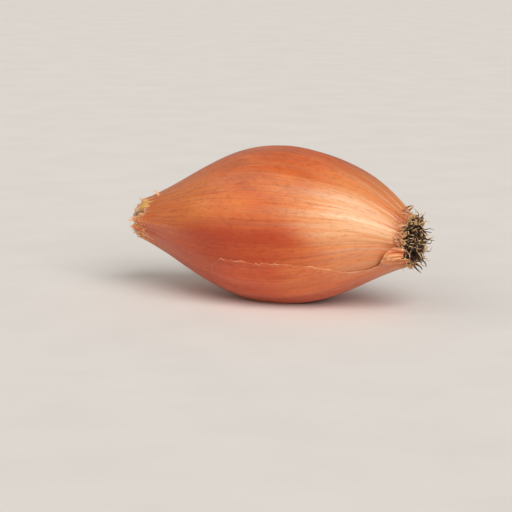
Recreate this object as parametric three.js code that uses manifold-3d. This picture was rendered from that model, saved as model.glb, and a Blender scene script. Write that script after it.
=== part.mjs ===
// A long shallot lying on its side, in millimetres, +Z up.
//
// The bulb is a spindle along X, with its dry neck at -X and its root plate at +X, and it rests on a small
// flat spot under its belly. Its dry skin is ribbed along its length, drawn into folds at the neck and
// puckered round the root plate. The skin is torn off the upper side of the neck, where the dried inner
// leaves show. A torn remnant of an older skin still wraps the underside of the root end, with a loose lobe
// at its front, and a tuft of dry rootlets grows out of the root plate.
//
// The origin is on the ground, under the middle of the shallot's length and width.

import * as THREE from "three";
import { mergeVertices } from "three/addons/utils/BufferGeometryUtils.js";
import Module from "manifold-3d";

// The bulb
const LENGTH = 77.3; // from the neck's rim to the root plate, along the bulb's own axis
const WIDTH = 41.5; // across the belly
const HEIGHT = 39.4; // up the belly, before the flat spot is taken off
const WIDEST = 0.566; // where the belly is widest, as a share of the length from the neck
const NECK_TAPER = 1.52; // towards the neck the half width falls off as exp(-taper * u ** power)
const NECK_POWER = 2.35;
const ROOT_TAPER = 0.706; // towards the root plate it falls off as 1 - taper * u ** power
const ROOT_POWER = 1.83;
const NECK_RISE = 0.2; // how far the neck's end bends up
const NECK_ASIDE = 1.6; // how far it bends towards +Y
const ROOT_DROOP = 2.65; // how far the root plate sits below the belly's axis
const NECK_BEND_SHARE = 0.26; // the share of the length over which each end bends
const ROOT_BEND_SHARE = 0.18;

// How it lies
const REST_PITCH = THREE.MathUtils.degToRad(-2); // negative lifts the root end
const FLAT_DEPTH = 0.45; // thickness that the flat spot takes off the belly

// The torn neck
const RIM_WALL = 0.8; // thickness of the skin at the neck's rim
const RIM_TORN_BACK = 3.7; // how far the rim is torn back where the tear is deepest
const RIM_TORN_AT = THREE.MathUtils.degToRad(-43); // the turn of the tear's middle
const RIM_TEETH = 0.7;
const SLIVER_ALONG = 0.108; // where a sliver of skin stands up behind the tear
const SLIVER_AT = THREE.MathUtils.degToRad(-26);
const SLIVER_LENGTH = 2.2;
const NECK_HOLLOW = 8.4; // depth of the hollow that holds the inner leaves
const INNER_LEAVES_END = 0.6; // how far the inner leaves stand out of the neck

const GAP = 0.3; // clearance between two pieces that meet

// The root plate and its tuft
const POCKET_DEPTH = 1.6; // depth of the dimple that holds the plate
const POCKET_RADIUS = 5.1;
const PLATE_DOME = 1.2; // how far the middle of the plate stands out of the bulb's end
const ROOTLETS = 72;
const SPIKE_BASE = 0.52; // half thickness of a rootlet or sliver where it starts
const SPIKE_TIP = 0.26;
const ROOTLET_SHORTEST = 1.9;
const ROOTLET_LONGEST = 4.6;

// The torn remnant of the older skin
const SKIN_THICKNESS = 0.6;
const SKIN_GAP = 0.35;
const LOBE_STANDS_OFF = 0.6; // how much further its loose lobe stands off the bulb

const COPPER = 0xc8693a;
const PALE_COPPER = 0xdd9259;
const STRAW = 0xd9ab66;
const ROOT_BROWN = 0x553524;

const { sin, cos, exp, max, min, PI } = Math;
const TURN = 2 * PI;

const mix = (low, high, share) => low + (high - low) * share;

const smoothstep = (low, high, value) => {
  const share = min(1, max(0, (value - low) / (high - low)));
  return share * share * (3 - 2 * share);
};

// A wave with straight sides and sharp turns, from -1 to 1, as a tear has.
const zigzag = (phase) => (2 / PI) * Math.asin(sin(phase));

// A repeatable stream of random numbers from 0 to 1.
function randomStream(seed) {
  let state = seed;
  return () => {
    state = (state + 0x6d2b79f5) | 0;
    let mixed = Math.imul(state ^ (state >>> 15), 1 | state);
    mixed = (mixed + Math.imul(mixed ^ (mixed >>> 7), 61 | mixed)) ^ mixed;
    return ((mixed ^ (mixed >>> 14)) >>> 0) / 4294967296;
  };
}

// The shape of the skin. "along" runs from 0 at the neck's rim to 1 at the root plate, and "turn" runs round
// the bulb in radians: 0 is its top, a quarter turn is +Y.

function halfWidthShare(along) {
  const u = along < WIDEST ? (WIDEST - along) / WIDEST : (along - WIDEST) / (1 - WIDEST);
  return along < WIDEST ? exp(-NECK_TAPER * u ** NECK_POWER) : 1 - ROOT_TAPER * u ** ROOT_POWER;
}

// Broad flats and swellings, which every cross-section has a little of.
function lumps(along, turn) {
  const flats = 0.016 * cos(2 * turn + 0.9) + 0.014 * cos(3 * turn - 0.7 + 0.8 * along);
  const swellings = 0.007 * cos(5 * turn + 2.1 - 1.5 * along);
  return 1 + sin(PI * along) * (flats + swellings);
}

// Ribs and folds along the skin, in millimetres: low on the belly, deep where the ends draw the skin in.
function folds(along, turn) {
  const ribs = 0.1 * cos(17 * turn + 1.3 * sin(3 * turn));
  const drawnIn = 0.3 * cos(9 * turn + 0.9 * sin(2 * turn) + 5 * along) + 0.14 * cos(14 * turn + 2);
  const puckers = 0.26 * cos(12 * turn + 1.1 * sin(2 * turn + 1)) + 0.1 * cos(19 * turn);
  return ribs * sin(PI * along) + drawnIn * exp(-along / 0.075) + puckers * exp((along - 1) / 0.045);
}

function axisPoint(along) {
  const neckBend = max(0, 1 - along / NECK_BEND_SHARE) ** 2;
  const rootBend = max(0, 1 - (1 - along) / ROOT_BEND_SHARE) ** 2;
  return new THREE.Vector3(
    (along - 0.5) * LENGTH,
    NECK_ASIDE * neckBend,
    NECK_RISE * neckBend - ROOT_DROOP * rootBend,
  );
}

// A point round the axis, before the bulb is laid down.
function roundAxis(along, turn, halfWidth, halfHeight) {
  const point = axisPoint(along);
  point.y += halfWidth * sin(turn);
  point.z += halfHeight * cos(turn);
  return point;
}

// A point on the skin, or lift millimetres outside it, before the bulb is laid down.
function skinPoint(along, turn, lift = 0) {
  const shape = halfWidthShare(along) * lumps(along, turn);
  const relief = folds(along, turn) + lift;
  return roundAxis(along, turn, (WIDTH / 2) * shape + relief, (HEIGHT / 2) * shape + relief);
}

// Laying the bulb down turns it to its pitch and sets its flat spot on the ground.
const pitch = new THREE.Euler(0, REST_PITCH, 0);
const SEARCH_STEPS = 120;
let lowest = 0;
for (let i = 0; i <= SEARCH_STEPS; i++)
  for (let j = 0; j < SEARCH_STEPS; j++) {
    const point = skinPoint(i / SEARCH_STEPS, (j / SEARCH_STEPS) * TURN);
    lowest = min(lowest, point.applyEuler(pitch).z);
  }

const laid = (point) => {
  point.applyEuler(pitch);
  point.z = max(0, point.z - lowest - FLAT_DEPTH);
  return point;
};

// Closed surfaces

function geometryOf(points, faces) {
  const positions = points.flatMap((point) => [point.x, point.y, point.z]);
  const geometry = new THREE.BufferGeometry();
  geometry.setAttribute("position", new THREE.Float32BufferAttribute(positions, 3));
  geometry.setIndex(faces.flat());
  return geometry;
}

// A closed surface through a row of rings with the same number of points, and a middle point over each end.
function throughRings(start, rings, end) {
  const size = rings[0].length;
  const points = [start, ...rings.flat(), end];
  const at = (ring, j) => 1 + ring * size + (j % size);
  const last = rings.length - 1;
  const faces = [];
  for (let j = 0; j < size; j++) {
    faces.push([0, at(0, j), at(0, j + 1)]);
    faces.push([points.length - 1, at(last, j + 1), at(last, j)]);
    for (let ring = 0; ring < last; ring++) {
      faces.push([at(ring, j), at(ring + 1, j), at(ring + 1, j + 1)]);
      faces.push([at(ring, j), at(ring + 1, j + 1), at(ring, j + 1)]);
    }
  }
  return geometryOf(points, faces);
}

// A curved slab between an outer and an inner sheet of rows by columns points.
function slab(rows, columns, outerPoint, innerPoint) {
  const rings = [];
  for (let j = 0; j <= columns; j++) {
    const outer = [];
    const inner = [];
    for (let i = 0; i <= rows; i++) {
      outer.push(outerPoint(i / rows, j / columns));
      inner.unshift(innerPoint(i / rows, j / columns));
    }
    rings.push([...outer, ...inner]);
  }
  const points = rings.flat();
  const size = rings[0].length;
  const at = (ring, i) => ring * size + (i % size);
  const faces = [];
  for (let j = 0; j < columns; j++)
    for (let i = 0; i < size; i++) {
      faces.push([at(j, i), at(j, i + 1), at(j + 1, i + 1)]);
      faces.push([at(j, i), at(j + 1, i + 1), at(j + 1, i)]);
    }
  for (let i = 0; i < rows; i++) {
    const mirrored = size - 1 - i;
    for (const [ring, flip] of [[0, true], [columns, false]]) {
      const corners = [at(ring, i), at(ring, i + 1), at(ring, mirrored - 1), at(ring, mirrored)];
      if (flip) corners.reverse();
      faces.push([corners[0], corners[1], corners[2]], [corners[0], corners[2], corners[3]]);
    }
  }
  return geometryOf(points, faces);
}

// Joining solids

const wasm = await Module();
wasm.setup();

function solidOf(geometry) {
  const merged = mergeVertices(geometry, 1e-4);
  return new wasm.Manifold(
    new wasm.Mesh({
      numProp: 3,
      vertProperties: new Float32Array(merged.attributes.position.array),
      triVerts: new Uint32Array(merged.index.array),
    }),
  );
}

function joined(geometries) {
  const { vertProperties, triVerts, numProp } = wasm.Manifold.union(geometries.map(solidOf)).getMesh();
  const positions = [];
  for (let i = 0; i < vertProperties.length; i += numProp)
    positions.push(...vertProperties.slice(i, i + 3));
  const geometry = new THREE.BufferGeometry();
  geometry.setAttribute("position", new THREE.Float32BufferAttribute(positions, 3));
  geometry.setIndex([...triVerts]);
  return geometry;
}

function piece(name, geometry, color, roughness) {
  geometry.computeVertexNormals();
  const mesh = new THREE.Mesh(geometry, new THREE.MeshStandardMaterial({ color, roughness, metalness: 0 }));
  mesh.name = name;
  return mesh;
}

const ringOf = (steps, point) => Array.from({ length: steps }, (_, j) => point((j / steps) * TURN));

const outOfSkin = (turn) => new THREE.Vector3(0, sin(turn), cos(turn));

// A tapering spike of three sides along a curve that bends as it grows, for a rootlet or a sliver of skin.
function spike(base, direction, bend, length) {
  const steps = 3;
  const sides = 3;
  const rings = [];
  const heading = direction.clone().normalize();
  const start = base.clone().addScaledVector(heading, -0.2);
  const point = base.clone();
  for (let step = 0; step <= steps; step++) {
    const across = new THREE.Vector3(0, 0, 1).cross(heading).normalize();
    const upward = across.clone().cross(heading);
    const radius = mix(SPIKE_BASE, SPIKE_TIP, step / steps);
    const corner = (turn) =>
      point
        .clone()
        .addScaledVector(across, radius * cos(turn))
        .addScaledVector(upward, radius * sin(turn));
    rings.push(ringOf(sides, corner));
    point.addScaledVector(heading, length / steps);
    heading.addScaledVector(bend, 1 / steps).normalize();
  }
  const tip = point.clone().addScaledVector(heading, -0.5 * (length / steps));
  return throughRings(start, rings, tip);
}

// The bulb, with the neck's hollow at one end and the root plate's pocket at the other.

// Where the skin ends at the neck, as a share of the length.
function rimAt(turn) {
  const tear = RIM_TORN_BACK * smoothstep(0.78, 0.95, cos(turn - RIM_TORN_AT));
  const teeth = RIM_TEETH * (0.6 * zigzag(5 * turn + 1) + 0.4 * zigzag(11 * turn));
  return (tear + teeth + RIM_TEETH) / LENGTH;
}

function makeBulb() {
  const turnSteps = 64;
  const skinSteps = 34;
  const hollowSteps = 3;
  const hollowFloor = NECK_HOLLOW / LENGTH;
  const rings = [];
  for (let i = 0; i <= hollowSteps; i++)
    rings.push(
      ringOf(turnSteps, (turn) => {
        const along = mix(hollowFloor, rimAt(turn) + 0.15 / LENGTH, i / hollowSteps);
        return laid(skinPoint(along, turn, -RIM_WALL));
      }),
    );
  for (let i = 0; i <= skinSteps; i++) {
    // The rings crowd together towards both ends, where the skin folds most.
    const share = mix(i / skinSteps, 0.5 - 0.5 * cos((PI * i) / skinSteps), 0.75);
    rings.push(ringOf(turnSteps, (turn) => laid(skinPoint(mix(rimAt(turn), 1, share), turn))));
  }
  const pocketFloor = 1 - POCKET_DEPTH / LENGTH;
  for (const along of [1, pocketFloor])
    rings.push(ringOf(turnSteps, (turn) => laid(roundAxis(along, turn, POCKET_RADIUS, POCKET_RADIUS))));
  const body = throughRings(laid(axisPoint(hollowFloor)), rings, laid(axisPoint(pocketFloor)));

  const rooted = 0.4;
  const leaning = new THREE.Vector3(-1, 0, 0).addScaledVector(outOfSkin(SLIVER_AT), 1.15);
  const foot = laid(skinPoint(SLIVER_ALONG, SLIVER_AT, -rooted));
  return joined([body, spike(foot, leaning, new THREE.Vector3(), SLIVER_LENGTH + rooted)]);
}

// The dried inner leaves fill the neck's hollow. Where the skin is torn off them they swell a little, and
// towards their end they crumple.
function makeInnerLeaves() {
  const turnSteps = 44;
  const foot = (NECK_HOLLOW - GAP) / LENGTH;
  const end = -INNER_LEAVES_END / LENGTH;
  const leafPoint = (share, turn, inward) => {
    const free = (1 - share) ** 2;
    const along = mix(end, foot, share) - (0.8 * free * zigzag(4 * turn + 0.6)) / LENGTH;
    const swell = 0.4 * smoothstep(0.005, 0.03, rimAt(turn) - along);
    const crumple = 1.1 * free * (0.5 + 0.5 * cos(5 * turn + 1.2 * sin(turn) + 6 * share));
    return laid(skinPoint(along, turn, swell - crumple - inward - RIM_WALL - GAP));
  };
  const rings = [
    ringOf(turnSteps, (turn) => leafPoint(0.22, turn, 1.9)),
    ringOf(turnSteps, (turn) => leafPoint(0, turn, 0.9)),
  ];
  for (const share of [0.02, 0.15, 0.3, 0.45, 0.6, 0.8, 1])
    rings.push(ringOf(turnSteps, (turn) => leafPoint(share, turn, 0)));
  return throughRings(laid(axisPoint(mix(end, foot, 0.22))), rings, laid(axisPoint(foot)));
}

// The torn remnant of the older skin hugs the underside of the root end. Its ragged edge curls up off the
// bulb, and at its front a lobe has come loose.

// The torn edge, as turns in degrees and shares of the length, from the back of the bulb to its front
const TORN_EDGE = [
  [118, 0.9],
  [132, 0.84],
  [150, 0.805],
  [180, 0.785],
  [205, 0.8],
  [220, 0.84],
  [224, 0.89],
  [229, 0.925],
  [241, 0.943],
  [252, 0.957],
  [261, 0.97],
  [267, 0.984],
];

function tornEdgeAt(degrees) {
  const next = max(1, TORN_EDGE.findIndex(([turn]) => turn >= degrees));
  const [[turnBefore, before], [turnAfter, after]] = TORN_EDGE.slice(next - 1, next + 1);
  return mix(before, after, (degrees - turnBefore) / (turnAfter - turnBefore));
}

// i runs from the torn edge to the root plate, and j from the back to the front.
function makeRootSkin() {
  const rows = 7;
  const columns = 34;
  const point = (lift) => (i, j) => {
    const degrees = mix(TORN_EDGE[0][0], TORN_EDGE.at(-1)[0], j);
    const teeth = 0.008 * zigzag(13 * j + 1) + 0.005 * zigzag(31 * j);
    const along = mix(tornEdgeAt(degrees) + teeth, 0.996, i);
    const curl = 0.55 * smoothstep(0.4, 0, i) * (0.4 + 0.6 * sin(7 * j) ** 2);
    const lobe = LOBE_STANDS_OFF * smoothstep(0.915, 0.955, along) * smoothstep(210, 238, degrees);
    return laid(skinPoint(along, THREE.MathUtils.degToRad(degrees), lift + curl + lobe));
  };
  return slab(rows, columns, point(SKIN_GAP + SKIN_THICKNESS), point(SKIN_GAP));
}

// The root plate and its rootlets

function makeRootTuft() {
  const random = randomStream(41);
  const plateRadius = POCKET_RADIUS - GAP;
  const floor = 1 - (POCKET_DEPTH - GAP) / LENGTH;
  const plateSteps = 24;
  const plateRing = (outward, radius) =>
    ringOf(plateSteps, (turn) => laid(roundAxis(floor + outward / LENGTH, turn, radius, radius)));
  const plate = throughRings(
    laid(axisPoint(floor)),
    [
      plateRing(0, plateRadius),
      plateRing(POCKET_DEPTH - GAP, plateRadius),
      plateRing(POCKET_DEPTH - GAP + 0.6 * PLATE_DOME, 0.78 * plateRadius),
      plateRing(POCKET_DEPTH - GAP + PLATE_DOME, 0.4 * plateRadius),
    ],
    laid(axisPoint(1 + PLATE_DOME / LENGTH)),
  );

  // Even spacing by the golden angle, each rootlet leaning out more the nearer it is to the plate's edge
  const goldenAngle = PI * (3 - Math.sqrt(5));
  const outOfPlate = new THREE.Vector3(1, 0, -0.1).normalize();
  const rootlets = Array.from({ length: ROOTLETS }, (_, index) => {
    const share = Math.sqrt((index + 0.5) / ROOTLETS);
    const turn = index * goldenAngle;
    const radial = outOfSkin(turn);
    const outward = PLATE_DOME * (1 - 0.7 * share ** 2) - 0.15;
    const radius = 0.82 * share * plateRadius;
    const base = laid(roundAxis(1 + outward / LENGTH, turn, radius, radius));
    const lean = mix(0.1, 1.05, share ** 1.4) * mix(0.75, 1, random());
    const direction = outOfPlate.clone().addScaledVector(radial, lean);
    const bend = new THREE.Vector3(-0.4 * random(), random() - 0.5, random() - 0.5).multiplyScalar(1.8);
    bend.addScaledVector(radial, 0.8 * share * random());
    return spike(base, direction, bend, mix(ROOTLET_SHORTEST, ROOTLET_LONGEST, random() ** 1.3));
  });
  return joined([plate, ...rootlets]);
}

const shallot = new THREE.Group();
shallot.add(
  piece("bulb", makeBulb(), COPPER, 0.45),
  piece("inner_leaves", makeInnerLeaves(), STRAW, 0.7),
  piece("root_skin", makeRootSkin(), PALE_COPPER, 0.5),
  piece("root_tuft", makeRootTuft(), ROOT_BROWN, 0.85),
);

// The origin goes under the middle of the whole.
const middle = new THREE.Box3().setFromObject(shallot).getCenter(new THREE.Vector3());
shallot.position.set(-middle.x, -middle.y, 0);

export default shallot;
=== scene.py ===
import math

import bpy
import numpy as np
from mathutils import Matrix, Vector


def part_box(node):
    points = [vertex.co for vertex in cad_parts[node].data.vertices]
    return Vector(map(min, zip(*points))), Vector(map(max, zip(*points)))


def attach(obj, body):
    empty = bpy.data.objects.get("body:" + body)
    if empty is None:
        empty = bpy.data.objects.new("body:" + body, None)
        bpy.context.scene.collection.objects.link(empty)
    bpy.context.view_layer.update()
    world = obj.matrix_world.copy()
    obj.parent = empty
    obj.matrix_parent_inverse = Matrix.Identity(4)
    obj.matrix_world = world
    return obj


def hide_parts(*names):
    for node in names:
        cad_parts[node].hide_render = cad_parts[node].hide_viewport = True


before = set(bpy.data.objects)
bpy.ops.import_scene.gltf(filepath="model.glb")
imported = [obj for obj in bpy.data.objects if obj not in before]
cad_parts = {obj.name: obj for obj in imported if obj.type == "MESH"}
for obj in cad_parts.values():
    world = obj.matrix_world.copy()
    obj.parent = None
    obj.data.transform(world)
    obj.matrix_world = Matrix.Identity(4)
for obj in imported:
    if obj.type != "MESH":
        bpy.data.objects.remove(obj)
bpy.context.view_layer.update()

MM = 0.001
TURN = 2 * math.pi

# The bulb, in millimetres or as shares of its length
LENGTH = 77.3  # from the neck's rim to the root plate, along the bulb's own axis
WIDTH = 41.5  # across the belly
HEIGHT = 39.4  # up the belly, before the flat spot is taken off
WIDEST = 0.566  # where the belly is widest, as a share of the length from the neck
NECK_TAPER = 1.52  # towards the neck the half width falls off as exp(-taper * u ** power)
NECK_POWER = 2.35
ROOT_TAPER = 0.706  # towards the root plate it falls off as 1 - taper * u ** power
ROOT_POWER = 1.83
NECK_RISE = 0.2  # how far the neck's end bends up
NECK_ASIDE = 1.6  # how far it bends towards +Y
ROOT_DROOP = 2.65  # how far the root plate sits below the belly's axis
NECK_BEND_SHARE = 0.26  # the share of the length over which each end bends
ROOT_BEND_SHARE = 0.18
REST_PITCH = math.radians(-2)  # negative lifts the root end
FLAT_DEPTH = 0.45  # thickness that the flat spot takes off the belly
OFF_GROUND = 0.05  # how far the skin stays off the ground under it
MEAN_RADIUS = 20  # of the belly, for measures round the bulb
BULB_ROWS, BULB_COLUMNS = 188, 448
HOLLOW_ROWS = 9

# Heights of the skin's fine relief, in millimetres
VEINS = 0.014
RIDGES = 0.026
NECK_WRINKLES = 0.23
RIM_CRUMPLES = 0.2
ROOT_PUCKERS = 0.11
DENTS = 0.13

# The torn neck
RIM_TORN_BACK = 3.7  # how far the rim is torn back where the tear is deepest
RIM_TORN_AT = math.radians(-43)  # the turn of the tear's middle
RIM_TEETH = 0.7
RIM_FRAY = 0.22
RIM_CURL = 0.35  # how far the rim curls out
CURL_REACH = 0.8  # how far back from the rim the curl goes
# Narrow splits that run back from the rim, as (turn in degrees, depth, width in degrees)
RIM_SPLITS = [
    (22, 2.6, 5),
    (64, 3.1, 4),
    (108, 2.0, 5),
    (152, 3.4, 4),
    (201, 1.8, 6),
    (238, 2.7, 4),
    (262, 1.5, 5),
    (318, 1.6, 6),
]
NECK_HOLLOW = 8.4  # depth of the hollow that holds the dried leaves
PAPER = 0.14  # thickness of a dry skin

# The dried leaves in the neck. Beside the tear one leaf is pinched in, which leaves a slit under the skin's
# rim, painted dark as shade.
LEAF_ROWS, LEAF_COLUMNS = 40, 240
SLIT_AT = math.radians(291)
SLIT_WIDTH = math.radians(9)
SWELLING_AT = math.radians(318)
SWELLING_BACK = 4  # how far behind the neck's end the pinched leaf swells
FREE_END = 2.0  # length of a leaf's pale end
LEAF_GAP = 0.4  # between the leaves and the hollow's floor

# Shreds of torn skin round the neck's rim, and flakes of it round the root plate
SHRED_PAPER = 0.06
SHRED_ROWS, SHRED_COLUMNS = 14, 5
SHRED_ROOT = 0.35  # length of a shred that is hidden under the skin
RIM_SHREDS = 64
ROOT_FLAKES = 90
SLIVER_ALONG = 0.112
SLIVER_AT = math.radians(334)

# The older skin, with its front and back edges as shares of the length and turns in degrees
OLD_ROWS, OLD_COLUMNS = 300, 160
OLD_PAPER = 0.09
OLD_SKIN_STARTS = 0.30
OLD_SKIN_ENDS = 0.993
LOBE_STANDS_OFF = 1.0
FRONT_EDGE = [
    (0.30, 196),
    (0.33, 214),
    (0.365, 231),
    (0.40, 244),
    (0.44, 252),
    (0.51, 251.5),
    (0.58, 250.5),
    (0.65, 249.5),
    (0.705, 247),
    (0.735, 245),
    (0.795, 237),
    (0.85, 226),
    (0.90, 223),
    (0.93, 229),
    (0.945, 241),
    (0.96, 252),
    (0.975, 261),
    (1.0, 266),
    (1.02, 262),
]
BACK_EDGE = [
    (0.30, 190),
    (0.36, 166),
    (0.45, 146),
    (0.6, 128),
    (0.75, 118),
    (0.85, 122),
    (0.93, 112),
    (0.99, 104),
    (1.02, 110),
]

# The root plate and its rootlets
POCKET_RADIUS = 5.1  # of the dimple that holds the plate
POCKET_DEPTH = 1.6
POCKET_LIP = 0.3  # how far its edge is bevelled, both ways
ROOT_FRAY = 0.2  # of the skin's end round it
PLATE_RADIUS = POCKET_RADIUS - 0.15
PLATE_DOME = 1.2  # how far the middle of the plate stands out of the bulb's end
PLATE_COLUMNS = 72
ROOTLETS = 290
RIM_HAIRS = 190
OUTER_ROOTLETS = 34
ROOTLET_STEPS = 13
ROOTLET_SIDES = 5
ROOTLET_OFF_GROUND = 0.3

FLOOR_HALF = 12.0  # metres


def mix(low, high, share):
    return low + (high - low) * share


def smoothstep(low, high, value):
    share = np.clip((value - low) / (high - low), 0, 1)
    return share * share * (3 - 2 * share)


def between(value, starts, full, wanes, ends):
    """1 from full to wanes, fading to 0 at starts and at ends."""
    return smoothstep(starts, full, value) * smoothstep(ends, wanes, value)


def bump(value, middle, spread):
    """1 at the middle, falling off smoothly to both sides of it."""
    return np.exp(-(((value - middle) / spread) ** 2))


def turned_from(turn, degrees):
    """How far round the bulb a turn is from one in degrees, in radians, by the shorter way."""
    return (turn - math.radians(degrees) + math.pi) % TURN - math.pi


def round_bump(turn, degrees, spread):
    """As bump, round the bulb. The middle is in degrees, the spread in radians."""
    return bump(turned_from(turn, degrees), 0, spread)


def zigzag(phase):
    return 2 / math.pi * np.arcsin(np.sin(phase))


def waves(along, turn, seed, numbers, lengthwise, count):
    """Smooth random relief of about -1 to 1. It closes round the bulb, because each wave has a whole number
    of crests round it."""
    random = np.random.default_rng(seed)
    total = 0
    for _ in range(count):
        number = random.integers(numbers[0], numbers[1] + 1)
        slant = random.uniform(*lengthwise)
        phase = random.uniform(0, TURN)
        height = random.uniform(0.5, 1)
        total = total + height * np.cos(number * turn + TURN * slant * along + phase)
    return total / math.sqrt(count)


def waves_round(turn, seed, numbers, count):
    return waves(0 * turn, turn, seed, numbers, (0, 0), count)


def waves_along(along, seed, lengthwise, count):
    return waves(along, 0 * along, seed, (0, 0), lengthwise, count)


def unit(vector):
    return vector / np.linalg.norm(vector)


# The shape of the skin. "along" runs from 0 at the neck's rim to 1 at the root plate, and "turn" runs round
# the bulb in radians: 0 is its top, a quarter turn is +Y.


def half_width_share(along):
    neck = np.clip((WIDEST - along) / WIDEST, 0, None)
    root = np.clip((along - WIDEST) / (1 - WIDEST), 0, None)
    neck_side = np.exp(-NECK_TAPER * neck**NECK_POWER)
    root_side = 1 - ROOT_TAPER * root**ROOT_POWER
    return np.where(along < WIDEST, neck_side, root_side)


def lumps(along, turn):
    """Broad flats and swellings, which every cross-section has a little of."""
    flats = 0.016 * np.cos(2 * turn + 0.9) + 0.014 * np.cos(3 * turn - 0.7 + 0.8 * along)
    swellings = 0.007 * np.cos(5 * turn + 2.1 - 1.5 * along)
    return 1 + np.sin(math.pi * along) * (flats + swellings)


def folds(along, turn):
    """Ribs and folds along the skin: low on the belly, deep where the ends draw the skin in."""
    ribs = 0.1 * np.cos(17 * turn + 1.3 * np.sin(3 * turn))
    drawn_in = 0.3 * np.cos(9 * turn + 0.9 * np.sin(2 * turn) + 5 * along)
    drawn_in = drawn_in + 0.14 * np.cos(14 * turn + 2)
    puckers = 0.26 * np.cos(12 * turn + 1.1 * np.sin(2 * turn + 1)) + 0.1 * np.cos(19 * turn)
    return (
        ribs * np.sin(math.pi * along)
        + drawn_in * np.exp(-along / 0.075)
        + puckers * np.exp((along - 1) / 0.045)
    )


def fine_relief(along, turn):
    """Veins, papery wrinkles and shallow dents."""
    middle = np.clip(np.sin(math.pi * np.clip(along, 0.02, 0.98)), 0, 1)
    veins = VEINS * waves(along, turn, 1, (58, 104), (-0.6, 0.6), 18) * middle**0.4
    ridges = RIDGES * waves(along, turn, 2, (14, 34), (-1.2, 1.2), 14)
    wrinkles = NECK_WRINKLES * waves(along, turn, 3, (12, 44), (-3, 3), 16) * np.exp(-along / 0.13)
    crumples = RIM_CRUMPLES * waves(along, turn, 6, (5, 26), (-16, 16), 22) * np.exp(-along / 0.06)
    puckers = ROOT_PUCKERS * waves(along, turn, 4, (18, 52), (-2, 2), 16) * np.exp((along - 1) / 0.08)
    dents = DENTS * waves(along, turn, 5, (1, 4), (-2.2, 2.2), 9) * middle
    return veins + ridges + wrinkles + crumples + puckers + dents


def axis_point(along):
    neck_bend = np.clip(1 - along / NECK_BEND_SHARE, 0, None) ** 2
    root_bend = np.clip(1 - (1 - along) / ROOT_BEND_SHARE, 0, None) ** 2
    z = NECK_RISE * neck_bend - ROOT_DROOP * root_bend
    return (along - 0.5) * LENGTH, NECK_ASIDE * neck_bend, z


def round_axis(along, turn, half_width, half_height):
    """Points round the axis, before the bulb is laid down."""
    x, y, z = axis_point(along)
    y = y + half_width * np.sin(turn)
    z = z + half_height * np.cos(turn)
    return np.stack(np.broadcast_arrays(x, y, z), -1)


def skin(along, turn, lift=0.0):
    """Points on the skin, or lift outside it, before the bulb is laid down."""
    shape = half_width_share(along) * lumps(along, turn)
    relief = folds(along, turn) + lift
    return round_axis(along, turn, WIDTH / 2 * shape + relief, HEIGHT / 2 * shape + relief)


def outward(turn):
    """The direction straight out of the bulb's axis."""
    return np.array([0, math.sin(turn), math.cos(turn)])


def whole_turn(columns):
    return np.linspace(0, TURN, columns, endpoint=False)[None, :]


def pitched(points):
    x, y, z = np.moveaxis(points, -1, 0)
    c, s = math.cos(REST_PITCH), math.sin(REST_PITCH)
    return np.stack([x * c + z * s, y, z * c - x * s], -1)


# Laying the bulb down sets its flat spot on the ground, and its middle where the solids have it.
coarse = pitched(skin(np.linspace(0, 1, 121)[:, None], whole_turn(120)))
coarse_low = coarse.min((0, 1))
coarse_high = coarse.max((0, 1))
bulb_low, bulb_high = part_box("bulb")
SHIFT = np.array([
    bulb_high.x / MM - coarse_high[0],
    (bulb_low.y + bulb_high.y) / 2 / MM - (coarse_low[1] + coarse_high[1]) / 2,
    -coarse_low[2] - FLAT_DEPTH,
])


def laid(points, ground=0.0):
    points = pitched(points) + SHIFT
    points[..., 2] = np.maximum(points[..., 2], ground)
    return points


# Meshes


def make_object(name, points, faces, material, grain=None, mask=None, pale=None, uvs=None):
    """A smooth mesh from points in millimetres. grain, mask and pale are attributes of its points."""
    mesh = bpy.data.meshes.new(name)
    mesh.from_pydata((points * MM).tolist(), [], faces)
    if uvs is not None:
        layer = mesh.uv_layers.new(name="OFBake")
        layer.data.foreach_set("uv", uvs.astype(np.float32).ravel())
    attributes = [
        ("grain", grain, "FLOAT_VECTOR", "vector"),
        ("mask", mask, "FLOAT_COLOR", "color"),
        ("pale", pale, "FLOAT", "value"),
    ]
    for attribute, values, kind, field in attributes:
        if values is not None:
            data = mesh.attributes.new(attribute, kind, "POINT").data
            data.foreach_set(field, values.astype(np.float32).ravel())
    mesh.polygons.foreach_set("use_smooth", [True] * len(mesh.polygons))
    mesh.materials.append(material)
    mesh.update()
    piece = bpy.data.objects.new(name, mesh)
    bpy.context.scene.collection.objects.link(piece)
    return piece


def grain_of(along, turn, shift=0.0):
    """Where a point of skin is on the unrolled skin: round a circle, and millimetres along it."""
    along, turn = np.broadcast_arrays(along, turn)
    x = MEAN_RADIUS * np.cos(turn) + shift
    return np.stack([x, MEAN_RADIUS * np.sin(turn), along * LENGTH], -1)


def quads(rows, columns, closed):
    """Faces of a grid of points, closed round its columns or open, that look out of the bulb."""
    i = np.arange(rows - 1)[:, None]
    j = np.arange(columns if closed else columns - 1)[None, :]
    after = (j + 1) % columns
    corners = [(i, j), (i + 1, j), (i + 1, after), (i, after)]
    return np.stack([(row * columns + column).ravel() for row, column in corners], -1)


def shell(outer, inner, closed=False):
    """A thin closed solid between two grids of points, as (points, faces)."""
    rows, columns = outer.shape[:2]
    size = rows * columns
    face = quads(rows, columns, closed)
    faces = [face, face[:, ::-1] + size]
    index = np.arange(size).reshape(rows, columns)
    if closed:
        index = np.concatenate([index, index[:, :1]], 1)
    edges = [index[0], index[-1, ::-1]]
    if not closed:
        edges += [index[::-1, 0], index[:, -1]]
    for edge in edges:
        start, end = edge[:-1], edge[1:]
        faces.append(np.stack([start, end, end + size, start + size], -1))
    points = np.concatenate([outer.reshape(-1, 3), inner.reshape(-1, 3)])
    return points, np.concatenate(faces)


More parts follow.
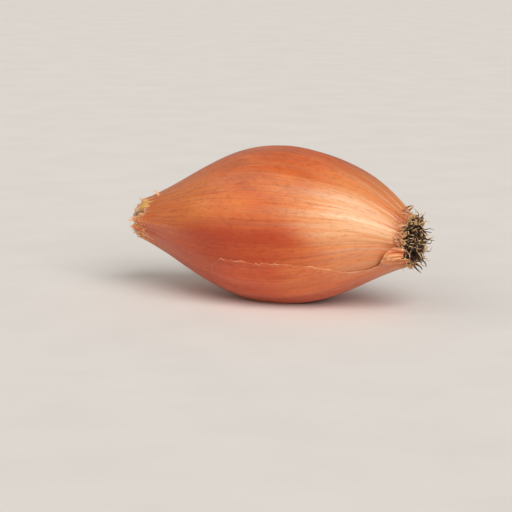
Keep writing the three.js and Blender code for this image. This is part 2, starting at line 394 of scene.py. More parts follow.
def twice(*values):
    """The values of the outer points of a shell, given to its inner points too."""
    return [np.concatenate([value, value]) for value in values]


def joined(parts):
    """Several (points, faces, grain, mask) as one, with its faces in a list."""
    points, faces, grains, masks = zip(*parts)
    starts = np.cumsum([0] + [len(part) for part in points[:-1]])
    faces = np.concatenate([face + start for face, start in zip(faces, starts)])
    return np.concatenate(points), faces.tolist(), np.concatenate(grains), np.concatenate(masks)


# Materials


def rgb(code):
    """A linear colour from a hex sRGB code."""
    channels = [int(code[i : i + 2], 16) / 255 for i in (0, 2, 4)]
    return [c / 12.92 if c <= 0.04045 else ((c + 0.055) / 1.055) ** 2.4 for c in channels] + [1]


class Nodes:
    """Short forms for a material's nodes. A value is a number, a colour or another node's output."""

    def __init__(self, name):
        self.material = bpy.data.materials.new(name)
        self.material.use_nodes = True
        self.tree = self.material.node_tree
        self.tree.nodes.clear()

    def add(self, kind, inputs=(), **settings):
        node = self.tree.nodes.new(kind)
        for key, value in settings.items():
            setattr(node, key, value)
        for key, value in dict(inputs).items():
            if isinstance(value, bpy.types.NodeSocket):
                self.tree.links.new(value, node.inputs[key])
            else:
                node.inputs[key].default_value = value
        return node

    def attribute(self, name):
        return self.add("ShaderNodeAttribute", attribute_name=name)

    def channels(self, name):
        """An attribute's red, green, blue and alpha."""
        source = self.attribute(name)
        split = self.add("ShaderNodeSeparateColor", {0: source.outputs["Color"]})
        return *split.outputs, source.outputs["Alpha"]

    def position(self):
        return self.add("ShaderNodeTexCoord").outputs["Object"]

    def noise(self, vector, scale=1.0, detail=4.0, roughness=0.55, distortion=0.0):
        inputs = {
            "Vector": vector,
            "Scale": scale,
            "Detail": detail,
            "Roughness": roughness,
            "Distortion": distortion,
        }
        return self.add("ShaderNodeTexNoise", inputs).outputs[0]

    def grained(self, round_it, lengthwise, **settings):
        """Noise on the unrolled skin, with its scale round the bulb and its scale along it."""
        grain = self.attribute("grain").outputs["Vector"]
        scale = {"Vector": grain, "Scale": (round_it, round_it, lengthwise)}
        return self.noise(self.add("ShaderNodeMapping", scale).outputs[0], **settings)

    def math(self, operation, a, b=0.0):
        return self.add("ShaderNodeMath", {0: a, 1: b}, operation=operation).outputs[0]

    def plus(self, a, b):
        return self.math("ADD", a, b)

    def times(self, a, b):
        return self.math("MULTIPLY", a, b)

    def stirred(self, value, noise, amount):
        """A value made uneven by a noise."""
        return self.plus(value, self.times(self.math("SUBTRACT", noise, 0.5), amount))

    def span(self, value, low, high, to_low=0.0, to_high=1.0):
        inputs = {"Value": value, "From Min": low, "From Max": high}
        inputs.update({"To Min": to_low, "To Max": to_high})
        return self.add("ShaderNodeMapRange", inputs, interpolation_type="SMOOTHSTEP").outputs[0]

    def ramp(self, value, stops):
        node = self.add("ShaderNodeValToRGB", {0: value})
        elements = node.color_ramp.elements
        while len(elements) < len(stops):
            elements.new(0.5)
        for element, (position, color) in zip(elements, stops):
            element.position = position
            element.color = rgb(color)
        return node.outputs[0]

    def blend(self, share, a, b, mode="MIX"):
        node = self.add("ShaderNodeMix", {0: share, 6: a, 7: b}, data_type="RGBA", blend_type=mode)
        return node.outputs[2]

    def line(self, value, width):
        """1 where a noise crosses its middle, falling to 0 over width: thin lines such as veins."""
        off_middle = self.math("ABSOLUTE", self.math("SUBTRACT", value, 0.5))
        return self.span(off_middle, 0.0, width, 1.0, 0.0)

    def finish(self, color, roughness, height=None, depth=0.05, strength=1.0, sockets=()):
        """The material, with a bump's depth in millimetres and other values for the shader's sockets."""
        inputs = {"Base Color": color, "Roughness": roughness}
        inputs.update(sockets)
        if height is not None:
            relief = {"Height": height, "Distance": depth * MM, "Strength": strength}
            inputs["Normal"] = self.add("ShaderNodeBump", relief).outputs[0]
        shader = self.add("ShaderNodeBsdfPrincipled", inputs)
        output = self.add("ShaderNodeOutputMaterial")
        self.tree.links.new(shader.outputs[0], output.inputs[0])
        return self.material


def skin_material(name, light, middle, dark, vein, roughness):
    """Dry shallot skin. The mask's channels are the neck, the root end, a torn edge, and painted ruddy
    shade.
    Its pale part, mostly a painted sheen, is an attribute of its own."""
    n = Nodes(name)
    neck, root, edge, ruddy_shade = n.channels("mask")
    pale = n.attribute("pale").outputs["Fac"]

    broad = n.grained(0.06, 0.035, detail=3)
    streaks = n.grained(0.55, 0.022, detail=7, roughness=0.68)
    fibres = n.grained(1.9, 0.03, detail=3, roughness=0.6)
    hairlines = n.grained(1.25, 0.016, detail=1.5)
    cross = n.grained(0.5, 0.9, detail=6, roughness=0.7)
    blotches = n.grained(0.16, 0.1, detail=5, roughness=0.65, distortion=0.6)
    mottle = n.grained(1.1, 0.6, detail=4, roughness=0.7)
    specks = n.grained(1.5, 1.1, detail=3, roughness=0.75)

    color = n.ramp(broad, [(0.3, dark), (0.48, middle), (0.68, light)])
    color = n.blend(n.span(streaks, 0.42, 0.66, 0.0, 0.5), color, rgb(dark))
    color = n.blend(n.span(fibres, 0.5, 0.72, 0.0, 0.4), color, rgb(light))
    color = n.blend(n.span(blotches, 0.52, 0.7, 0.0, 0.4), color, rgb(light))
    color = n.blend(n.times(n.line(hairlines, 0.03), 0.4), color, rgb(vein))
    # Painted shade: the skin turns a deep red along the front of the belly and underneath.
    color = n.blend(n.times(ruddy_shade, 0.85), color, rgb("aa3110"))
    # Painted sheen: the colour turns cream where the pale attribute is high, over skin a little paler
    # there.
    sheen_cream = n.ramp(streaks, [(0.36, "d8925a"), (0.5, "ecbc8a"), (0.64, "f5d8b2")])
    color = n.blend(n.times(pale, 0.78), color, sheen_cream)

    # the neck: patches of ochre and cream
    ochre = n.ramp(cross, [(0.35, "b5561f"), (0.5, "e58e45"), (0.64, "f9d7a4")])
    patchy = n.span(n.stirred(neck, cross, 0.9), 0.3, 0.95)
    color = n.blend(n.times(patchy, 0.85), color, ochre)

    # the root end: tan streaks and rusty stains
    root_tan = n.ramp(streaks, [(0.36, "8c4a26"), (0.5, "c98a55"), (0.62, "e2b07c")])
    rooty = n.span(n.stirred(root, streaks, 1.1), 0.3, 0.95)
    color = n.blend(n.times(rooty, 0.75), color, root_tan)
    stain = n.stirred(root, blotches, 1.2)
    color = n.blend(n.span(stain, 0.55, 0.95, 0.0, 0.65), color, rgb("b4501c"))

    mottled = n.ramp(mottle, [(0.3, "dccbc0"), (0.5, "ffffff"), (0.7, "ffffff")])
    color = n.blend(0.75, color, mottled, "MULTIPLY")
    color = n.blend(n.span(specks, 0.64, 0.74, 0.0, 0.2), color, rgb(vein))
    # Torn edges are paler paper; along the older skin's front edge this paleness is also a painted
    # highlight.
    color = n.blend(n.times(edge, 0.8), color, rgb("f0cba6"))

    uneven = n.plus(streaks, n.times(fibres, 0.5))
    rough = n.span(uneven, 0.5, 1.0, roughness - 0.07, roughness + 0.12)
    height = n.plus(n.times(fibres, 0.8), n.times(n.line(hairlines, 0.05), 0.5))
    height = n.plus(height, n.times(cross, 0.35))
    gloss = n.times(n.span(neck, 0.05, 0.8, 0.44, 0.1), n.span(ruddy_shade, 0.1, 0.9, 1.0, 0.5))
    sockets = {
        "Specular IOR Level": 0.3,
        "Coat Weight": gloss,
        "Coat Roughness": 0.23,
        "Subsurface Weight": 0.04,
        "Subsurface Radius": (1.0, 0.35, 0.15),
        "Subsurface Scale": 0.8 * MM,
    }
    return n.finish(color, rough, height, depth=0.09, strength=0.6, sockets=sockets)


def leaf_material():
    """The dried, matt, straw-yellow leaf bases in the neck. The mask's channels are the painted shade in
    the slit and a leaf's free end."""
    n = Nodes("dried_leaves")
    slit_shade, free_end, _, _ = n.channels("mask")
    fibres = n.grained(1.6, 0.09, detail=5, roughness=0.65)
    mottle = n.grained(0.4, 0.35, detail=6, roughness=0.7)
    color = n.ramp(fibres, [(0.34, "b07a38"), (0.5, "d9a656"), (0.66, "efce8e")])
    color = n.blend(n.span(mottle, 0.5, 0.7, 0.0, 0.55), color, rgb("cf9648"))
    papery = n.ramp(mottle, [(0.35, "dc9f78"), (0.6, "fbd9bd")])
    color = n.blend(n.times(free_end, 0.95), color, papery)
    # painted shade in the slit
    color = n.blend(n.times(slit_shade, 0.85), color, rgb("4a2a16"))
    rough = n.span(mottle, 0.3, 0.7, 0.55, 0.8)
    height = n.plus(fibres, n.times(mottle, 0.6))
    return n.finish(color, rough, height, depth=0.2, strength=0.8)


def root_material():
    """Dry rootlets. The mask's channels run from base to tip, tint each rootlet, partly as painted shade,
    and mark the plate.
    """
    n = Nodes("dry_roots")
    life, tint, plate, _ = n.channels("mask")
    grit = n.noise(n.position(), scale=2600.0, detail=5, roughness=0.7)
    dark = n.ramp(grit, [(0.35, "160b06"), (0.55, "311a0d"), (0.7, "532f19")])
    straw = n.ramp(grit, [(0.35, "b4844f"), (0.55, "e6bd88"), (0.7, "fae6c2")])
    dryness = n.plus(life, n.math("SUBTRACT", tint, 0.5))
    color = n.blend(n.span(dryness, 0.4, 0.95), dark, straw)
    color = n.blend(n.times(plate, 0.7), color, dark)
    return n.finish(color, n.span(grit, 0.3, 0.7, 0.6, 0.9), grit, depth=0.08, strength=0.7)


copper = skin_material(
    "copper_skin", light="e0803b", middle="d26026", dark="b24516", vein="822f0e", roughness=0.38
)
old_copper = skin_material(
    "old_skin", light="e47c3c", middle="d65c29", dark="b54218", vein="8a3211", roughness=0.41
)
leaves = leaf_material()
roots = root_material()


# The bulb


def torn_at(turn):
    """How far the skin is torn back, as a share of the tear's depth."""
    return smoothstep(0.78, 0.95, np.cos(turn - RIM_TORN_AT))


def rim_at(turn):
    """Where the skin ends at the neck, as a share of the length."""
    tear = RIM_TORN_BACK * torn_at(turn)
    teeth = RIM_TEETH * (0.6 * zigzag(5 * turn + 1) + 0.4 * zigzag(11 * turn))
    fray = RIM_FRAY * waves_round(turn, 11, (22, 60), 10)
    splits = 0
    for degrees, depth, width in RIM_SPLITS:
        off = np.abs(turned_from(turn, degrees)) / math.radians(width)
        splits = splits + depth * np.clip(1 - off, 0, None)
    return (tear + teeth + RIM_TEETH + fray + splits) / LENGTH


def skin_mask(along, turn, edge=0.0):
    """The neck, the root end, a torn edge, and painted ruddy shade: a deeper red along the front, and
    underneath.
    """
    along, turn, edge = np.broadcast_arrays(along, turn, edge)
    neck = np.exp(-np.clip(along, 0, None) / 0.1)
    root = np.exp((along - 1) / 0.06)
    front = round_bump(turn, 270, 0.24) * between(along, 0.1, 0.4, 0.62, 0.86)
    under = between(np.degrees(turn), 150, 200, 250, 268) * between(along, 0.06, 0.25, 0.6, 0.9)
    ruddy_shade = front + 0.6 * under * (1 - front)
    return np.stack([neck, root, edge, ruddy_shade], -1)


def sheen_and_pale_skin(along, turn):
    """Painted sheen over skin a little paler there: most of all the shoulder by the root end, and a little
    the neck's upper side.
    """
    shoulder = round_bump(turn, 290, 0.66) * bump(along, 0.9, 0.24)
    lower_edge = np.radians(mix(268, 244, smoothstep(0.62, 0.86, along)))
    turn_from_below = (turn - math.pi) % TURN + math.pi
    shoulder = shoulder * smoothstep(lower_edge, lower_edge + 0.45, turn_from_below)
    lower = round_bump(turn, 236, 0.42) * bump(along, 0.84, 0.13)
    upper = round_bump(turn, 325, 0.75) * between(along, 0.03, 0.2, 0.4, 0.72)
    rest = 0.3 * smoothstep(0.72, 0.95, along) + 0.22 * lower + 0.17 * upper
    return shoulder + rest * (1 - shoulder)


def bulb_uvs(hollow_rows, outside_rows, pocket_rows):
    """The bulb unrolled: its rings one above another, between the middle points of its two ends."""
    ring = np.arange(BULB_COLUMNS)
    v = np.concatenate([
        np.linspace(0.01, 0.06, hollow_rows),
        np.linspace(0.065, 0.945, outside_rows),
        np.linspace(0.955, 0.99, pocket_rows),
    ])
    left = 1 - ring / BULB_COLUMNS
    right = 1 - (ring + 1) / BULB_COLUMNS
    middle = (left + right) / 2
    low, high = v[:-1, None], v[1:, None]
    corners = [(left, low), (left, high), (right, high), (right, low)]
    grid = [np.stack(np.broadcast_arrays(*corner), -1) for corner in corners]
    first = [(middle, 0), (left, v[0]), (right, v[0])]
    last = [(middle, 1), (right, v[-1]), (left, v[-1])]
    ends = [[np.stack(np.broadcast_arrays(*corner), -1) for corner in end] for end in (first, last)]
    return np.concatenate([np.stack(part, -2).reshape(-1, 2) for part in (grid, *ends)])


def make_bulb():
    turn = whole_turn(BULB_COLUMNS)
    rim = rim_at(turn)
    curl = RIM_CURL * np.clip(waves_round(turn, 12, (3, 9), 8), -0.3, 1.2)

    share = np.linspace(0, 1, HOLLOW_ROWS)[:, None]
    hollow_along = mix(NECK_HOLLOW / LENGTH, rim, share)
    behind_rim = (hollow_along - rim) * LENGTH
    hollow = skin(hollow_along, turn, curl * np.exp(-behind_rim / CURL_REACH) - PAPER)

    # the rows lie closer together towards both ends
    share = np.linspace(0, 1, BULB_ROWS)[:, None]
    share = mix(share, 0.5 - 0.5 * np.cos(math.pi * share), 0.6)
    root_edge = 1 + ROOT_FRAY * waves_round(turn, 13, (8, 40), 12) / LENGTH
    along = mix(rim, root_edge, share)
    behind_rim = (along - rim) * LENGTH
    outside = skin(along, turn, fine_relief(along, turn) + curl * np.exp(-behind_rim / CURL_REACH))

    pocket_depth = np.array([POCKET_LIP, POCKET_DEPTH, POCKET_DEPTH])[:, None]
    pocket_radius = np.array([POCKET_RADIUS + POCKET_LIP, POCKET_RADIUS, 0.5])[:, None]
    pocket_along = 1 - pocket_depth / LENGTH
    pocket = round_axis(pocket_along, turn, pocket_radius, pocket_radius)

    # The first and last rings are each closed over by a row of faces to one middle point.
    rings = np.concatenate([hollow, outside, pocket])
    rows = len(rings)
    ends = (hollow_along[0, 0], pocket_along[-1, 0])
    middles = [round_axis(np.float64(end), 0.0, 0.0, 0.0) for end in ends]
    points = laid(np.concatenate([rings.reshape(-1, 3), middles]), OFF_GROUND)
    ring = np.arange(BULB_COLUMNS)
    after = (ring + 1) % BULB_COLUMNS
    first_middle = np.full(BULB_COLUMNS, rows * BULB_COLUMNS)
    last_row = (rows - 1) * BULB_COLUMNS
    faces = quads(rows, BULB_COLUMNS, True).tolist()
    faces += np.stack([first_middle, ring, after], -1).tolist()
    faces += np.stack([first_middle + 1, last_row + after, last_row + ring], -1).tolist()

    every_along = np.concatenate([hollow_along + 0 * turn, along, pocket_along + 0 * turn])
    edge = np.exp(-(every_along - rim) * LENGTH / mix(0.3, 0.75, torn_at(turn)))
    edge[:HOLLOW_ROWS] = 0.6
    mask = skin_mask(every_along, turn, edge).reshape(-1, 4)
    grain = grain_of(every_along, turn).reshape(-1, 3)
    pale = sheen_and_pale_skin(every_along, turn).ravel()
    mask, grain, pale = [np.concatenate([values, values[:2]]) for values in (mask, grain, pale)]
    return points, faces, copper, grain, mask, pale, bulb_uvs(HOLLOW_ROWS, BULB_ROWS, len(pocket))


bulb = make_object("bulb_skin", *make_bulb())
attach(bulb, "root")
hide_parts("bulb")


# The dried leaves in the neck: nested crumpled tubes with ragged ends


def leaf_tube(inward, end, crumple, seed, torn=0.0, pinch=0.0):
    """One dried leaf base. inward is how far it lies inside the skin, and end how far from the neck's end
    it stops."""
    turn = whole_turn(LEAF_COLUMNS)
    share = np.linspace(0, 1, LEAF_ROWS)[:, None]
    ragged = 0.5 * zigzag(4 * turn + seed) + 0.4 * waves_round(turn, seed, (9, 34), 10)
    start = (end + ragged + torn * torn_at(turn)) / LENGTH
    along = mix(start, (NECK_HOLLOW - LEAF_GAP) / LENGTH, share)
    free = (1 - share) ** 2
    dimples = 0.5 + 0.5 * np.cos(5 * turn + 1.2 * np.sin(turn + seed) + 3 * share + seed)
    slit = bump(turn, SLIT_AT, SLIT_WIDTH) * (1 - share)
    swollen = bump(turn, SWELLING_AT, 0.4) * bump(along * LENGTH, SWELLING_BACK, 1.8)
    lift = 0.12 * waves(along, turn, seed + 40, (16, 44), (-4, 4), 12) - inward
    lift = lift - crumple * free * dimples
    lift = lift + 0.3 * free * waves(along, turn, seed + 80, (3, 9), (-6, 6), 10)
    lift = lift - pinch * slit + 0.35 * pinch * swollen
    outer = laid(skin(along, turn, lift))
    inner = laid(skin(along, turn, lift - PAPER))
    points, faces = shell(outer, inner, closed=True)
    # Painted shade in the slit that the pinched leaf leaves.
    dark = np.clip(pinch * slit, 0, 1)
    free_end = bump(along * LENGTH, start * LENGTH, FREE_END)
    mask = np.stack([dark, free_end, 0 * dark, 0 * dark + 1], -1).reshape(-1, 4)
    grain = grain_of(along, turn, shift=7.0 * seed).reshape(-1, 3)
    return points, faces, *twice(grain, mask)


points, faces, grain, mask = joined([
    leaf_tube(inward=0.25, end=0.6, crumple=0.2, seed=21, torn=0.4, pinch=2.2),
    leaf_tube(inward=0.8, end=-0.3, crumple=0.5, seed=22, pinch=1.0),
    leaf_tube(inward=1.55, end=-0.3, crumple=0.9, seed=23),
    leaf_tube(inward=2.15, end=0.2, crumple=0.9, seed=24),
    leaf_tube(inward=2.75, end=0.6, crumple=0.7, seed=25),
])
neck_leaves = make_object("neck_leaves", points, faces, leaves, grain, mask)
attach(neck_leaves, "root")
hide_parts("inner_leaves")


# Shreds and flakes: thin curled slips with ragged sides


def shred(random, along, turn, length, width, rise, sideways, curl, ahead=-1.0):
    """A slip that leaves the skin at (along, turn), heads for the neck's end (ahead -1) or the root end (1)
    and rises clear of the skin."""
    out = outward(turn)
    around = np.array([0, math.cos(turn), -math.sin(turn)])
    heading = unit(np.array([ahead, 0, 0]) + rise * out + sideways * around)
    path = [skin(np.float64(along), np.float64(turn), 0.02) - SHRED_ROOT * heading - 0.12 * out]
    for _ in range(SHRED_ROWS - 1):
        heading = unit(heading + curl / SHRED_ROWS * out)
        path.append(path[-1] + heading * (length + SHRED_ROOT) / (SHRED_ROWS - 1))
    path = np.array(path)[:, None, :]
    share = np.linspace(0, 1, SHRED_ROWS)[:, None, None]
    across = np.linspace(-1, 1, SHRED_COLUMNS)[None, :, None]
    jitter = random.normal(0, 1, (SHRED_ROWS, SHRED_COLUMNS, 1))
    ragged = 1 + 0.28 * jitter * np.abs(across) * (share > 0.1)
    half = width / 2 * (1 - share**2.2) * ragged + 0.02
    twist = random.normal(0, 0.5) * share
    aside = around * np.cos(twist) + out * np.sin(twist)
    sheet = path + half * across * aside + 0.3 * half * (1 - across**2) * out
    points, faces = shell(laid(sheet + SHRED_PAPER / 2 * out), laid(sheet - SHRED_PAPER / 2 * out))
    share = np.repeat(share.ravel(), SHRED_COLUMNS)
    side = np.tile(across.ravel(), SHRED_ROWS)
    grain = grain_of(np.float64(along), np.float64(turn))
    grain = grain + np.stack([width * side, 0 * side, -length * share], -1)
    at_neck = ahead < 0
    tips = mix(0.6, 1.0, share) if at_neck else mix(0.1, 0.75, share)
    mask = np.stack([0 * share + 0.6 * at_neck, 0 * share + 0.9 * (not at_neck), tips, 0 * share], -1)
    return points, faces, *twice(grain, mask)


def rim_shreds():
    """Shreds round the neck's rim, and the sliver that stands up behind the tear."""
    random = np.random.default_rng(61)
    slips = [shred(
        random,
        along=SLIVER_ALONG,
        turn=SLIVER_AT,
        length=2.2,
        width=0.8,
        rise=1.15,
        sideways=0.25,
        curl=-0.4,
    )]
    for _ in range(RIM_SHREDS):
        turn = random.uniform(0, TURN)
        behind_rim = random.uniform(-0.1, 0.5) / LENGTH
        size = random.uniform(0, 1) ** 1.5
        slips.append(shred(
            random,
            along=rim_at(np.array([turn]))[0] + behind_rim,
            turn=turn,
            length=mix(0.5, 1.9, size),
            width=mix(0.35, 0.9, size) * random.uniform(0.6, 1.2),
            rise=random.uniform(-0.25, 0.45),
            sideways=random.normal(0, 0.35),
            curl=random.normal(0.1, 0.9),
        ))
    return joined(slips)


def root_flakes():
    """Ragged flakes of skin that stand round the root plate."""
    random = np.random.default_rng(62)
    slips = []
    for _ in range(ROOT_FLAKES):
        size = random.uniform(0, 1) ** 1.4
        slips.append(shred(
            random,
            along=1 - random.uniform(0.1, 2.4) / LENGTH,
            turn=random.uniform(0, TURN),
            length=mix(0.7, 2.2, size),
            width=mix(0.4, 1.3, size),
            rise=random.uniform(-0.2, 0.5),
            sideways=random.normal(0, 0.4),
            curl=random.normal(0.3, 0.9),
            ahead=1.0,
        ))
    return joined(slips)


points, faces, grain, mask = rim_shreds()
shreds = make_object("neck_shreds", points, faces, old_copper, grain, mask, np.zeros(len(points)))
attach(shreds, "root")

points, faces, grain, mask = root_flakes()
flakes = make_object("root_flakes", points, faces, old_copper, grain, mask, np.full(len(points), 0.35))
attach(flakes, "root")


# The older skin: it wraps the underside. Its torn edge shows along the front, and ends in a loose, crumpled
# lobe by the root plate.


def torn_edge(along, edge, swerve, swerve_seed, lengthwise, tooth, tooth_seed):
    """The turn of an edge in degrees, made to swerve and given small teeth."""
    shares, turns = zip(*edge)
    swerves = swerve * waves_along(along, swerve_seed, lengthwise, 9)
    teeth = tooth * waves_along(along, tooth_seed, (22, 90), 16)
    return np.interp(along, shares, turns) + swerves + teeth


def make_old_skin():
    share = np.linspace(0, 1, OLD_ROWS)[:, None]
    across = np.linspace(0, 1, OLD_COLUMNS)[None, :]
    across = mix(across, 1 - (1 - across) ** 2, 0.6)
    over_plate = 1.6 * smoothstep(0.62, 0.8, across) + 0.5 * waves_along(across, 37, (2, 22), 12)
    along = mix(OLD_SKIN_STARTS, OLD_SKIN_ENDS + over_plate / LENGTH, share)
    front = torn_edge(along, FRONT_EDGE, 1.1, 31, (5, 16), 0.55, 35)
    back = torn_edge(along, BACK_EDGE, 1.5, 32, (4, 14), 0.6, 39)
    degrees = mix(back, front, across)
    turn = np.radians(degrees)
    from_edge = np.radians(np.minimum(front - degrees, degrees - back)) * MEAN_RADIUS
    from_edge = from_edge * half_width_share(along)

    # It clings to the belly and comes loose towards the root end, where its front corner is the lobe.
    loose = smoothstep(0.84, 0.975, along)
    curl = mix(0.03, 0.8, loose) * np.exp(-from_edge / mix(0.4, 1.6, loose))
    curl = curl * (0.75 + 0.5 * waves(along, turn, 33, (2, 7), (3, 12), 8))
    on_lobe = smoothstep(0.915, 0.955, along) * smoothstep(210, 238, degrees)
    crumple = waves(along, turn, 38, (9, 28), (-9, 9), 14)
    creases = 1 - 2 * np.abs(waves(along, turn, 40, (18, 50), (-22, 22), 14))
    wrinkles = 0.16 * np.abs(waves(along, turn, 34, (10, 26), (-2, 2), 12)) * loose
    stands_off = (LOBE_STANDS_OFF + 0.34 * crumple + 0.2 * creases) * on_lobe
    # Its left end tapers out under the bulb's own skin.
    uneven_end = along + 0.03 * waves_round(turn, 41, (2, 9), 6)
    sunk = 0.28 * smoothstep(0.41, 0.31, uneven_end)
    distinct = smoothstep(0.34, 0.47, along)
    lift = 0.03 + np.clip(curl, 0, None) + stands_off + fine_relief(along, turn) + wrinkles - sunk
    paper = OLD_PAPER * mix(0.3, 1, distinct) * smoothstep(-0.1, 0.5, from_edge) + 0.03
    points, faces = shell(laid(skin(along, turn, lift + paper)), laid(skin(along, turn, lift - 0.02)))

    # Paler torn paper in patches along the edge, with a painted highlight along it.
    pale_edge_and_glint = np.clip(0.5 + 0.9 * waves_along(along, 36, (4, 30), 12), 0.15, 1) * distinct
    mask = skin_mask(along, turn, pale_edge_and_glint * np.exp(-from_edge / mix(0.12, 0.3, loose)))
    mask[..., 0] = np.maximum(mask[..., 0], (0.6 + 0.25 * crumple) * on_lobe)
    mask[..., 1] = mix(mask[..., 1], 0.3, on_lobe)
    mask[..., 3] *= mix(1, 0.4, distinct)
    # The painted sheen goes on over the older skin. On the lobe the skin is paler, and painted paler still
    # where its crumples stand out, as light on raised folds.
    pale = np.maximum(sheen_and_pale_skin(along, turn) * (1 - 0.6 * on_lobe), (0.42 + 0.5 * crumple) * on_lobe)
    grain = grain_of(along, turn, shift=2.0 * distinct)
    looks = twice(grain.reshape(-1, 3), mask.reshape(-1, 4), np.clip(pale, 0, 1).ravel())
    return points, faces.tolist(), old_copper, *looks


old_skin = make_object("old_skin", *make_old_skin())
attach(old_skin, "root")
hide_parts("root_skin")


# The root plate and its rootlets. Each part is (points, arrays of faces, mask).


def tube(path, radii):
    """Points and faces of a tapering tube round a path, closed at both ends."""
    tangents = np.gradient(path, axis=0)
    tangents /= np.linalg.norm(tangents, axis=1)[:, None]
    side = unit(np.cross(tangents[0], [0.31, 0.57, 0.76]))
    angles = np.linspace(0, TURN, ROOTLET_SIDES, endpoint=False)[:, None]
    rings = []
    for point, tangent, radius in zip(path, tangents, radii):
        side = unit(side - tangent * side.dot(tangent))
        other = np.cross(tangent, side)
        rings.append(point + radius * (np.cos(angles) * side + np.sin(angles) * other))
    points = np.concatenate([*rings, path[:1], path[-1:]])
    ring = np.arange(ROOTLET_SIDES)
    after = (ring + 1) % ROOTLET_SIDES
    last_row = (len(path) - 1) * ROOTLET_SIDES
    base = np.full(ROOTLET_SIDES, len(path) * ROOTLET_SIDES)
    start = np.stack([base, after, ring], -1)
    end = np.stack([base + 1, last_row + ring, last_row + after], -1)
    return points, [quads(len(path), ROOTLET_SIDES, True)[:, ::-1], start, end]


def rootlet_path(random, base, heading, length, curliness, pull):
    """A curly path of a given length that starts at base."""
    heading = unit(heading)
    spin = random.normal(0, 1, 3)
    path = [base]
    for step in range(ROOTLET_STEPS):
        spin = 0.72 * spin + 0.7 * random.normal(0, 1, 3)
        if step > 0:
            heading = heading + 0.42 * curliness * spin + 0.3 * pull
        heading = unit(heading)
        path.append(path[-1] + heading * length / ROOTLET_STEPS)
    path = np.array(path)
    path[:, 2] = np.maximum(path[:, 2], ROOTLET_OFF_GROUND)
    return path


def rootlet(path, radii, tint, base_life):
    points, faces = tube(path, radii)
    life = np.repeat(np.linspace(base_life, 1, len(path)), ROOTLET_SIDES)
    life = np.concatenate([life, [base_life, 1]])
    return points, faces, np.stack([life, 0 * life + tint, 0 * life, 0 * life + 1], -1)


def plate_point(outside, turn, radius):
    """A laid point by the root plate, outside the bulb's end by a distance."""
    return laid(round_axis(np.float64(1 + outside / LENGTH), turn, radius, radius))


def root_plate():
    """The domed plate."""
    turn = whole_turn(PLATE_COLUMNS)
    heights = np.array([-1.3, -0.4, 0.0, 0.35, 0.62, 0.84, 1.0, 1.1, 1.16, PLATE_DOME])[:, None]
    shares = np.array([0.99, 1.0, 0.98, 0.9, 0.78, 0.62, 0.46, 0.3, 0.15, 0.02])[:, None]
    bumpy = 0.14 * waves(heights, turn, 51, (5, 24), (-2, 2), 14)
    radii = PLATE_RADIUS * shares + bumpy
    points = laid(round_axis(1 + (heights + bumpy * (heights > 0)) / LENGTH, turn, radii, radii))
    mask = np.tile([0.0, 0.35, 1.0, 1.0], (heights.size * PLATE_COLUMNS, 1))
    return points.reshape(-1, 3), [quads(len(heights), PLATE_COLUMNS, True)], mask


def plate_rootlet(random, index):
    """A rootlet of the plate: dark at its base, and drier towards its tip."""
    golden = math.pi * (3 - math.sqrt(5))
    share = math.sqrt((index + 0.5) / ROOTLETS)
    turn = index * golden + random.normal(0, 0.1)
    base = plate_point(PLATE_DOME * (1 - 0.8 * share**2) - 0.25, turn, 0.97 * share * PLATE_RADIUS)
    lean = mix(0.15, 1.35, share**1.5) * random.uniform(0.6, 1.15)
    heading = np.array([1.0, 0, -0.08]) + lean * outward(turn)
    length = mix(2.2, 6.0, random.random() ** 1.3) * mix(0.8, 1.0, share)
    path = rootlet_path(random, base, heading, length, 0.8, np.array([-0.3 * share, 0, -0.04]))
    taper = 1.15 - 0.8 * np.linspace(0, 1, len(path)) ** 1.3
    thick = random.uniform(0.1, 0.27)
    # Painted shade: outer rootlets are darker towards the underside and the near (-Y) side and paler
    # towards the top and the far side, on top of each one's random tint.
    tint = np.clip(random.normal(0.4 + 0.25 * share * math.cos(turn - 0.9), 0.34), 0, 1)
    return rootlet(path, thick * taper, tint, 0.0)


def rim_hair(random, index):
    """A short pale hair on the rim of the skin round the plate."""
    turn = TURN * (index + random.uniform(-0.4, 0.4)) / RIM_HAIRS
    radius = POCKET_RADIUS + random.uniform(0.1, 0.9)
    base = plate_point(-random.uniform(0, 0.3), turn, radius)
    heading = np.array([random.uniform(0.1, 1.0), 0, 0]) + random.uniform(0.3, 0.9) * outward(turn)
    path = rootlet_path(random, base, heading, random.uniform(0.9, 2.2), 0.45, np.zeros(3))
    return rootlet(path, random.uniform(0.06, 0.14) * np.linspace(1, 0.4, len(path)), 1.0, 0.4)


def outer_rootlet(random, index):
    """A thicker straw-coloured rootlet that leans out over the skin."""
    turn = TURN * (index + random.uniform(-0.5, 0.5)) / OUTER_ROOTLETS
    base = plate_point(0.1, turn, 0.92 * PLATE_RADIUS)
    heading = np.array([random.uniform(0.2, 0.8), 0, 0]) + outward(turn)
    length = random.uniform(2.0, 3.6)
    path = rootlet_path(random, base, heading, length, 0.6, np.array([-0.35, 0, 0]))
    taper = 1.1 - 0.85 * np.linspace(0, 1, len(path)) ** 1.5
    thick = random.uniform(0.15, 0.26)
    return rootlet(path, thick * taper, random.uniform(0.75, 1.0), 0.3)


def make_root_tuft():
    random = np.random.default_rng(5)
    parts = [root_plate()]
    kinds = [(plate_rootlet, ROOTLETS), (rim_hair, RIM_HAIRS), (outer_rootlet, OUTER_ROOTLETS)]
    for make, count in kinds:
        parts += [make(random, index) for index in range(count)]
    faces = []
    offset = 0
    for points, arrays, _ in parts:
        for array in arrays:
            faces += (array + offset).tolist()
        offset += len(points)
    return np.concatenate([part[0] for part in parts]), faces, np.concatenate([part[2] for part in parts])


points, faces, mask = make_root_tuft()
tuft = make_object("rootlets", points, faces, roots, mask=mask)
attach(tuft, "root")
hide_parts("root_tuft")


# The floor, the light and the camera


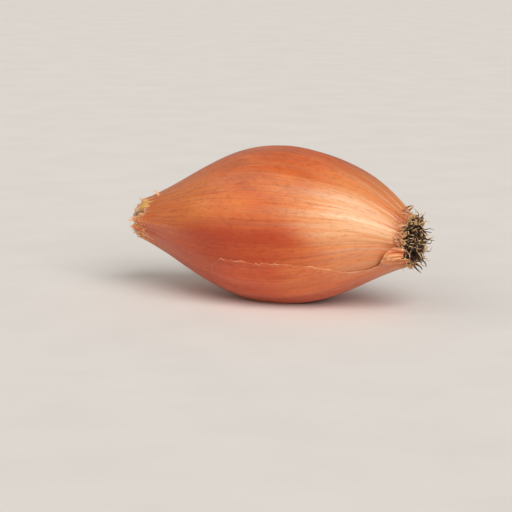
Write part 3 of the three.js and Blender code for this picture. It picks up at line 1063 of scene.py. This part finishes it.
def make_floor():
    n = Nodes("floor")
    tone = n.noise(n.position(), scale=40.0, detail=4)
    material = n.finish(n.ramp(tone, [(0.3, "e4e4e4"), (0.7, "e9e9e9")]), 0.85)
    mesh = bpy.data.meshes.new("floor")
    corners = [(-1, -1), (1, -1), (1, 1), (-1, 1)]
    mesh.from_pydata([(x * FLOOR_HALF, y * FLOOR_HALF, 0) for x, y in corners], [], [(0, 1, 2, 3)])
    mesh.materials.append(material)
    floor = bpy.data.objects.new("floor", mesh)
    bpy.context.scene.collection.objects.link(floor)


def add_sun(name, direction, spread, strength, color):
    """A soft distant lamp that shines from a direction, with its spread in degrees."""
    light = bpy.data.lights.new(name, "SUN")
    light.angle = math.radians(spread)
    light.energy = strength
    light.color = color
    toward = Vector(direction).normalized()
    lamp = bpy.data.objects.new(name, light)
    lamp.location = toward
    lamp.rotation_mode = "QUATERNION"
    lamp.rotation_quaternion = toward.to_track_quat("Z", "Y")
    bpy.context.scene.collection.objects.link(lamp)


make_floor()
add_sun("key", (0.62, -0.48, 0.6), 48, 2.68, (1.0, 0.96, 0.9))
add_sun("fill", (-0.6, -0.5, 0.65), 70, 0.74, (1.0, 0.9, 0.78))
add_sun("front", (0.05, -0.95, 0.12), 60, 0.45, (1.0, 0.78, 0.62))
add_sun("back", (-0.45, 0.7, 0.55), 60, 0.12, (1.0, 0.9, 0.78))

world = bpy.data.worlds.new("studio")
world.use_nodes = True
background = world.node_tree.nodes["Background"]
background.inputs["Color"].default_value = (1.0, 0.94, 0.88, 1)
background.inputs["Strength"].default_value = 0.2
bpy.context.scene.world = world
bpy.context.scene.view_settings.view_transform = "Standard"

# The camera stands 26 degrees round from the bulb's broadside towards its root end, and 10 degrees up.
AZIMUTH, ELEVATION = math.radians(26), math.radians(10)
DISTANCE = 0.52  # metres
FRAME = 512  # pixels
SCALE = 3.9277  # pixels per millimetre at the bulb's middle
MIDDLE_AT = (269.7, 224.7)  # the pixel on which the middle of the bulb's axis falls
SENSOR = 36  # millimetres
back = Vector((
    math.sin(AZIMUTH) * math.cos(ELEVATION),
    -math.cos(AZIMUTH) * math.cos(ELEVATION),
    math.sin(ELEVATION),
))
right = Vector((0, 0, 1)).cross(back).normalized()
up = back.cross(right)
aim = Vector(SHIFT * MM)
aim += right * ((FRAME / 2 - MIDDLE_AT[0]) / SCALE * MM)
aim += up * ((MIDDLE_AT[1] - FRAME / 2) / SCALE * MM)
camera_data = bpy.data.cameras.new("camera")
camera_data.sensor_width = SENSOR
camera_data.lens = SCALE / MM * DISTANCE / FRAME * SENSOR
camera_data.clip_start, camera_data.clip_end = 0.01, 20
camera = bpy.data.objects.new("camera", camera_data)
camera.location = aim + back * DISTANCE
camera.rotation_mode = "QUATERNION"
camera.rotation_quaternion = back.to_track_quat("Z", "Y")
bpy.context.scene.collection.objects.link(camera)
bpy.context.scene.camera = camera
